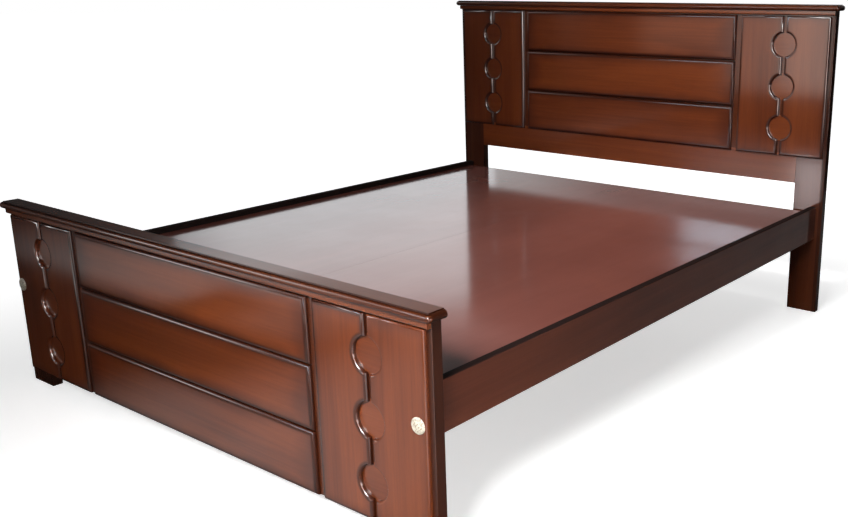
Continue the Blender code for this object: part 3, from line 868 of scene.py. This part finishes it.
def side_rail(node, side):
    """Side rail that is lacquered outside and left dark and dull on its top and inner faces."""

    def is_raw(face):
        return face.normal.z > 0.7 or face.normal.x * side < -0.5

    finish_piece(node, copy_solid(node, small_arris), "side_rail", raw_test=is_raw)


def is_front(face):
    """Tell whether a face looks to the front."""
    return face.normal.y < -0.5


def turned_rings(middle, profile):
    """Rings about an axis along Y, from (Y, radius) pairs or (Y, radius, sides of a polygon) triples."""
    rings = []
    for y, radius, *sides in profile:
        ring = []
        for i in range(turned_sides):
            angle = 2 * pi * i / turned_sides
            reach = radius
            if sides:
                half = pi / sides[0]
                reach = radius / cos(angle % (2 * half) - half)
            ring.append((middle[0] + reach * cos(angle), y, middle[2] + reach * sin(angle)))
        rings.append(ring)
    return rings


def bolt_cover(node):
    """Domed cover with a rounded rim, and a stem that fills the hole over the bolt head."""
    low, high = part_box(node)
    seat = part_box(node.replace("bolt_cap", "outer_board"))[0][1] - cover_seat_gap
    radius = (high[0] - low[0]) / 2
    profile = [(high[1], cover_stem_radius - small_arris), (high[1] - small_arris, cover_stem_radius)]
    profile += [(seat, cover_stem_radius), (seat, radius - small_arris / 2), (seat - small_arris / 2, radius)]
    dome = seat - cover_rim - low[1]
    steps = 2 * round_steps
    for i in range(steps):
        turn = pi / 2 * i / steps
        profile.append((seat - cover_rim - dome * sin(turn), radius * cos(turn)))
    shape = bmesh.new()
    add_rings(shape, turned_rings((low + high) / 2, profile))
    finish_piece(node, shape, "plastic")


def bed_bolt(node, facing):
    """Bolt with a six-sided socket in its head, which faces the front (-1) or the back (1)."""
    low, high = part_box(node)
    top = high[1] if facing > 0 else low[1]
    length = high[1] - low[1]
    profile = [(bolt_socket, bolt_socket, bolt_socket_sides), (0.0, bolt_socket, bolt_socket_sides)]
    profile += [(0.0, bolt_head_radius - bolt_chamfer), (bolt_chamfer, bolt_head_radius)]
    profile += [(bolt_head_thickness, bolt_head_radius), (bolt_head_thickness, bolt_radius)]
    profile += [(length - small_arris, bolt_radius), (length, bolt_radius - small_arris)]
    shape = bmesh.new()
    placed = [(top - facing * depth, *rest) for depth, *rest in profile]
    add_rings(shape, turned_rings((low + high) / 2, placed))
    finish_piece(node, shape, "steel")


def screws(name, start, end, count, facing):
    """Row of wood screws whose heads stand on a face."""
    shape = grow(screw_tree, {
        "Start": start,
        "End": end,
        "Count": count,
        "Facing": facing,
        "Material": finishes["steel"],
    })
    bmesh.ops.remove_doubles(shape, verts=shape.verts, dist=screw_weld)
    bmesh.ops.recalc_face_normals(shape, faces=shape.faces)
    mesh = bpy.data.meshes.new(name)
    shape.to_mesh(mesh)
    shape.free()
    mesh.shade_smooth()
    mesh.set_sharp_from_angle(angle=screw_sharp_angle)
    mesh.materials.append(finishes["steel"])
    item = bpy.data.objects.new(name, mesh)
    bpy.context.scene.collection.objects.link(item)
    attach(item, "root")


def ledger_screw_row(node, side):
    """Screws through a ledger into the side rail, spread along its inner face."""
    low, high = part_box(node)
    x = low[0] if side > 0 else high[0]
    z = (low[2] + high[2]) / 2
    start = (x, low[1] + ledger_screw_margin, z)
    end = (x, high[1] - ledger_screw_margin, z)
    screws(node + "_screws", start, end, ledger_screws, (-side, 0.0, 0.0))


def leg_screw_row(node):
    """Screws through a leg's cheek into the centre beam, one above the other."""
    low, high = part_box(node)
    beam_low, beam_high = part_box("centre_beam")
    y = (low[1] + high[1]) / 2
    start = (high[0], y, beam_low[2] + leg_screw_margin)
    end = (high[0], y, beam_high[2] - leg_screw_margin)
    screws(node + "_screws", start, end, leg_screws, (1.0, 0.0, 0.0))


# Dressing every solid

for end in ("headboard", "footboard"):
    for number in (1, 2, 3):
        plank(f"{end}_plank_{number}")
    for side, word in ((-1, "left"), (1, "right")):
        upright_board(f"{end}_{word}_outer_board", side, True, edge_stain_and_shade_band if end == "headboard" else 0.0)
        upright_board(f"{end}_{word}_inner_board", side, False)
        post(f"{end}_{word}_post")
    cap(f"{end}_cap")
    cap_moulding(f"{end}_cap_moulding")
    for rail in ("top_rail", "lower_rail"):
        # The front faces of both top rails and of the footboard's lower rail get painted shade
        shaded_faces = None if (end, rail) == ("headboard", "lower_rail") else is_front
        shape = copy_solid(f"{end}_{rail}", small_arris)
        finish_piece(f"{end}_{rail}", shape, "across", shaded_face_test=shaded_faces)
    back_panel(f"{end}_back_panel")

for side, word in ((-1, "left"), (1, "right")):
    side_rail(f"{word}_side_rail", side)
    plain_piece(f"{word}_ledger", "batten")
    plain_piece(f"platform_{word}_panel", "platform", 0.0)
    ledger_screw_row(f"{word}_ledger", side)
    bolt_cover(f"footboard_{word}_bolt_cap")
    for end, facing in (("headboard", 1), ("footboard", -1)):
        bed_bolt(f"{end}_{word}_bolt", facing)
        plain_piece(f"{end}_{word}_barrel_nut", "steel", 0.0)
        plain_piece(f"{end}_{word}_dowel", "batten", 0.0)

for number in range(1, 7):
    plain_piece(f"cross_bearer_{number}", "bearer")
plain_piece("centre_beam", "batten")
for number in (1, 2):
    plain_piece(f"centre_leg_{number}", "leg")
    leg_screw_row(f"centre_leg_{number}")


# Room: the camera sees white all round; mirrors see a dim room with the bright patches and walls below

white = (1.0, 1.0, 1.0, 1.0)
black = (0.0, 0.0, 0.0, 1.0)
room_light = 0.05
floor_radius = 40.0
floor_sides = 96
floor_drop = 0.0005
floor_tones = ((0.80, 0.80, 0.80, 1.0), (0.83, 0.83, 0.83, 1.0))

# Painted shadow round the bed: half sides of its area, distances from its rim over which the floor's glow
# rises to white, and the glow at either end
shadow_half_sides = (0.83, 1.00)
shadow_fade = (-0.30, 1.30)
floor_lift = (0.60, 1.00)

# Patches of floor that mirrors see: range of X and its softness, range of Y and its softness, brightness
floor_sheens = (
    ((-12.0, -0.4), (0.60, 0.60), (1.3, 30.0), (0.60, 0.60), 0.80),
    ((0.85, 2.2), (0.12, 0.12), (-2.6, -1.15), (0.12, 0.12), 2.40),
    ((0.9, 3.0), (0.20, 0.20), (-1.0, 3.0), (0.20, 0.20), 0.18),
    ((-0.20, 0.75), (0.30, 0.35), (-2.3, -1.0), (0.25, 0.10), 0.80),
    ((-0.80, -0.35), (0.15, 0.15), (-1.95, -1.66), (0.10, 0.08), 0.42),
    ((-0.45, 0.75), (0.30, 0.35), (-1.24, -1.0), (0.06, 0.10), 0.60),
    ((-2.15, -1.13), (0.95, 0.09), (-3.0, -1.65), (0.20, 0.09), 0.75),
    ((-1.40, 0.30), (0.20, 0.30), (-3.0, -1.89), (0.20, 0.05), 0.85),
    ((-2.0, -0.65), (0.60, 0.25), (-3.4, -2.03), (0.20, 0.03), 2.60),
)

# Walls that mirrors see: brightness, then fades from one value to another over a range of turn or rise.
# The turn is in degrees from straight behind the headboard towards the left; the rise is height by distance.
mirrored_walls = (
    (1.0, (
        ("turn", 31, 41, 0.15, 0.76), ("turn", 54, 60, 1.00, 0.08),
        ("rise", 0.12, 0.28, 0.90, 1.10), ("rise", 0.295, 0.345, 1.00, 0.08),
    )),
    (7.0, (
        ("turn", 116, 130, 0.0, 1.0), ("turn", 130, 135, 1.0, 0.0),
        ("rise", 0.0, 0.08, 0.0, 1.0), ("rise", 0.50, 0.70, 1.0, 0.0),
    )),
    (2.0, (
        ("turn", 150, 156, 0.0, 1.0), ("turn", 163, 170, 1.0, 0.0),
        ("rise", 0.10, 0.16, 0.0, 1.0), ("rise", 0.70, 0.90, 1.0, 0.0),
    )),
)

# Colours of the soft boxes
neutral = (1.0, 1.0, 1.0)
cream = (1.0, 0.88, 0.80)
rose = (1.0, 0.88, 0.89)
blush = (1.0, 0.90, 0.87)
salmon = (1.0, 0.76, 0.70)
amber = (1.0, 0.62, 0.48)
sky = (0.62, 0.85, 1.0)
pale_sky = (0.90, 0.95, 1.0)
wide = 180.0

# Soft boxes: name, place, target, width and height, brightness, spread in degrees, colour, where they show.
# A box that shows in the gloss only adds highlights to the lacquer; one that shows in the wood adds none.
soft_boxes = (
    ("key_light", (1.30, -2.60, 1.90), (0.75, -0.99, 0.40), (0.9, 0.8), 6.0, 58.0, neutral, "both"),
    ("headboard_light", (0.45, -2.90, 3.90), (0.40, 0.97, 1.35), (0.8, 0.5), 6.9, 30.0, neutral, "wood"),
    ("front_left_light", (-1.7, -4.6, 0.75), (-1.7, 1.0, 0.75), (1.3, 1.2), 1.6, wide, cream, "gloss"),
    ("veil_light", (-1.35, -4.55, 0.75), (-1.35, 1.0, 0.75), (0.8, 1.5), 1.8, wide, cream, "gloss"),
    ("low_left_light", (-2.5, -3.0, 0.85), (0.8, -1.0, 0.53), (1.2, 0.9), 0.36, 50.0, neutral, "gloss"),
    ("veil_left_light", (-2.83, -4.6, 0.70), (-2.83, 1.0, 0.70), (0.95, 0.5), 1.2, wide, amber, "gloss"),
    ("window_light", (-2.33, -4.6, 2.1), (0.3, 1.0, 0.5), (0.75, 0.6), 33.0, wide, sky, "gloss"),
    ("glint_light", (1.40, -2.75, 2.00), (0.70, -0.99, 0.40), (1.8, 1.5), 24.0, wide, neutral, "gloss"),
    ("post_gleam", (-1.44, -4.6, 1.47), (0.6, 0.5, 0.36), (0.30, 0.6), 20.0, wide, rose, "gloss"),
    ("right_wall_light", (3.6, -1.9, 0.45), (0.0, -1.9, 0.45), (4.4, 0.9), 6.0, wide, blush, "gloss"),
    ("front_right_strip", (2.5, -3.0, 0.85), (0.2, 0.0, 0.85), (1.1, 1.7), 18.0, wide, salmon, "gloss"),
    ("side_light", (2.5, -0.97, 0.60), (0.82, -0.96, 0.22), (0.5, 0.5), 1.3, 40.0, neutral, "both"),
    ("back_left_light", (-3.5, 2.6, 1.45), (0.0, 0.0, 0.4), (2.4, 1.2), 0.72, wide, pale_sky, "both"),
    ("top_light", (0.60, 0.30, 2.60), (0.30, 0.30, 0.36), (0.8, 0.6), 1.6, 50.0, neutral, "both"),
    ("rear_light", (-0.8, 4.2, 2.50), (0.0, 1.0, 0.60), (1.6, 1.2), 3.0, wide, neutral, "both"),
)

# Pieces that some soft boxes are kept off
platform_panels = ("platform_left_panel", "platform_right_panel")
headboard_posts = ("headboard_left_post", "headboard_right_post")
spared_pieces = {
    "glint_light": platform_panels,
    "front_right_strip": platform_panels,
    "right_wall_light": platform_panels + headboard_posts,
}


def place_camera():
    """Camera at the picture's viewpoint, with its optical centre where the picture has it."""
    yaw, pitch, roll = (radians(a) for a in (camera_yaw, camera_pitch, camera_roll))
    ahead = Vector((-sin(yaw) * cos(pitch), cos(yaw) * cos(pitch), sin(pitch)))
    right = Vector((cos(yaw), sin(yaw), 0.0))
    up = right.cross(ahead)
    level_right = right * cos(roll) + up * sin(roll)
    level_up = up * cos(roll) - right * sin(roll)
    data = bpy.data.cameras.new("camera")
    data.sensor_width = sensor_width
    data.lens = focal_pixels / image_width * sensor_width
    data.shift_x = -(optical_centre[0] - image_width / 2) / image_width
    data.shift_y = -(image_height / 2 - optical_centre[1]) / image_width
    data.clip_end = view_distance
    item = bpy.data.objects.new("camera", data)
    turn = Matrix((level_right, level_up, -ahead)).transposed().to_4x4()
    item.matrix_world = Matrix.Translation(camera_place) @ turn
    bpy.context.scene.collection.objects.link(item)
    bpy.context.scene.camera = item


def soft_box(name, place, target, size, radiance, spread, colour, shows_in):
    """Rectangular studio light of a given brightness, turned towards a target; a grid narrows its spread."""
    data = bpy.data.lights.new(name, "AREA")
    data.shape = "RECTANGLE"
    data.size, data.size_y = size
    data.energy = radiance * pi * size[0] * size[1]
    data.spread = radians(spread)
    data.color = colour
    item = bpy.data.objects.new(name, data)
    item.location = place
    item.rotation_euler = (Vector(target) - Vector(place)).to_track_quat("-Z", "Y").to_euler()
    item.visible_camera = False
    item.visible_diffuse = shows_in != "gloss"
    item.visible_glossy = shows_in != "wood"
    bpy.context.scene.collection.objects.link(item)


def keep_off(light, names):
    """Keep a light off the named pieces, which would mirror the whole of it at a flat angle."""
    spared = bpy.data.collections.new(f"{light.name}_spared")
    for name in names:
        spared.objects.link(bpy.data.objects[f"{name}_finished"])
    light.light_linking.receiver_collection = spared
    for entry in spared.collection_objects:
        entry.light_linking.link_state = "EXCLUDE"


def make_floor():
    """Pale round floor that the camera sees white away from the bed, with painted shadow as it glows less
    near the bed; mirrors see only its bright patches.
    """
    shape = bmesh.new()
    bmesh.ops.create_circle(shape, cap_ends=True, radius=floor_radius, segments=floor_sides)
    mesh = bpy.data.meshes.new("studio_floor")
    shape.to_mesh(mesh)
    shape.free()
    material, tree, shader = start_material("studio_floor")
    where = object_place(tree)
    at = parts_of(tree, where)
    path = add_node(tree, "ShaderNodeLightPath").outputs
    tone = mix_colours(tree, noise(tree, where, 2.0, 2.0), *floor_tones)
    tone = mix_colours(tree, path["Is Glossy Ray"], tone, black)
    beside = math_node(tree, "SUBTRACT", math_node(tree, "ABSOLUTE", at["X"]), shadow_half_sides[0])
    beyond = math_node(tree, "SUBTRACT", math_node(tree, "ABSOLUTE", at["Y"]), shadow_half_sides[1])
    lift = remap(tree, math_node(tree, "MAXIMUM", beside, beyond), *shadow_fade, *floor_lift)
    sheen = 0.0
    for x_range, x_soft, y_range, y_soft, brightness in floor_sheens:
        patch = brightness
        for axis, reach, soft in (("X", x_range, x_soft), ("Y", y_range, y_soft)):
            for limit, blur, low, high in ((reach[0], soft[0], 0.0, 1.0), (reach[1], soft[1], 1.0, 0.0)):
                side = remap(tree, at[axis], limit - blur, limit + blur, low, high)
                patch = math_node(tree, "MULTIPLY", side, patch)
        sheen = math_node(tree, "MAXIMUM", patch, sheen)
    seen = math_node(tree, "MAXIMUM", path["Is Camera Ray"], path["Is Transmission Ray"])
    glow = math_node(tree, "MULTIPLY", lift, seen)
    glow = math_node(tree, "ADD", glow, math_node(tree, "MULTIPLY", sheen, path["Is Glossy Ray"]))
    feed(tree, shader, {
        "Base Color": tone,
        "Roughness": 0.9,
        "Specular IOR Level": 0.0,
        "Emission Color": white,
        "Emission Strength": glow,
    })
    mesh.materials.append(material)
    item = bpy.data.objects.new("studio_floor", mesh)
    item.location = (0.0, 0.0, -floor_drop)
    bpy.context.scene.collection.objects.link(item)


def make_world():
    """Faint even room light; the camera sees white, and mirrors see the room's bright walls."""
    world = bpy.data.worlds.new("studio")
    bpy.context.scene.world = world
    world.use_nodes = True
    tree = world.node_tree
    tree.nodes.clear()
    path = add_node(tree, "ShaderNodeLightPath").outputs
    way = parts_of(tree, add_node(tree, "ShaderNodeTexCoord").outputs["Generated"])
    leftward = math_node(tree, "MULTIPLY", way["X"], -1.0)
    turn = math_node(tree, "DEGREES", math_node(tree, "ARCTAN2", leftward, way["Y"]))
    measures = {"turn": turn, "rise": way["Z"]}
    glow = 0.0
    for brightness, fades in mirrored_walls:
        wall = brightness
        for measure, *limits in fades:
            wall = math_node(tree, "MULTIPLY", remap(tree, measures[measure], *limits), wall)
        glow = math_node(tree, "MAXIMUM", wall, glow)
    room, mirrored, shown = (
        add_node(tree, "ShaderNodeBackground", {"Color": white, "Strength": strength}).outputs[0]
        for strength in (room_light, glow, 1.0)
    )
    seen = math_node(tree, "MAXIMUM", path["Is Camera Ray"], path["Is Transmission Ray"])
    indoors = add_node(tree, "ShaderNodeMixShader", {0: path["Is Glossy Ray"], 1: room, 2: mirrored})
    whole = add_node(tree, "ShaderNodeMixShader", {0: seen, 1: indoors.outputs[0], 2: shown})
    add_node(tree, "ShaderNodeOutputWorld", {0: whole.outputs[0]})


place_camera()
make_floor()
make_world()
for box in soft_boxes:
    soft_box(*box)
for name, pieces in spared_pieces.items():
    keep_off(bpy.data.objects[name], pieces)
bpy.context.scene.view_settings.view_transform = "Standard"
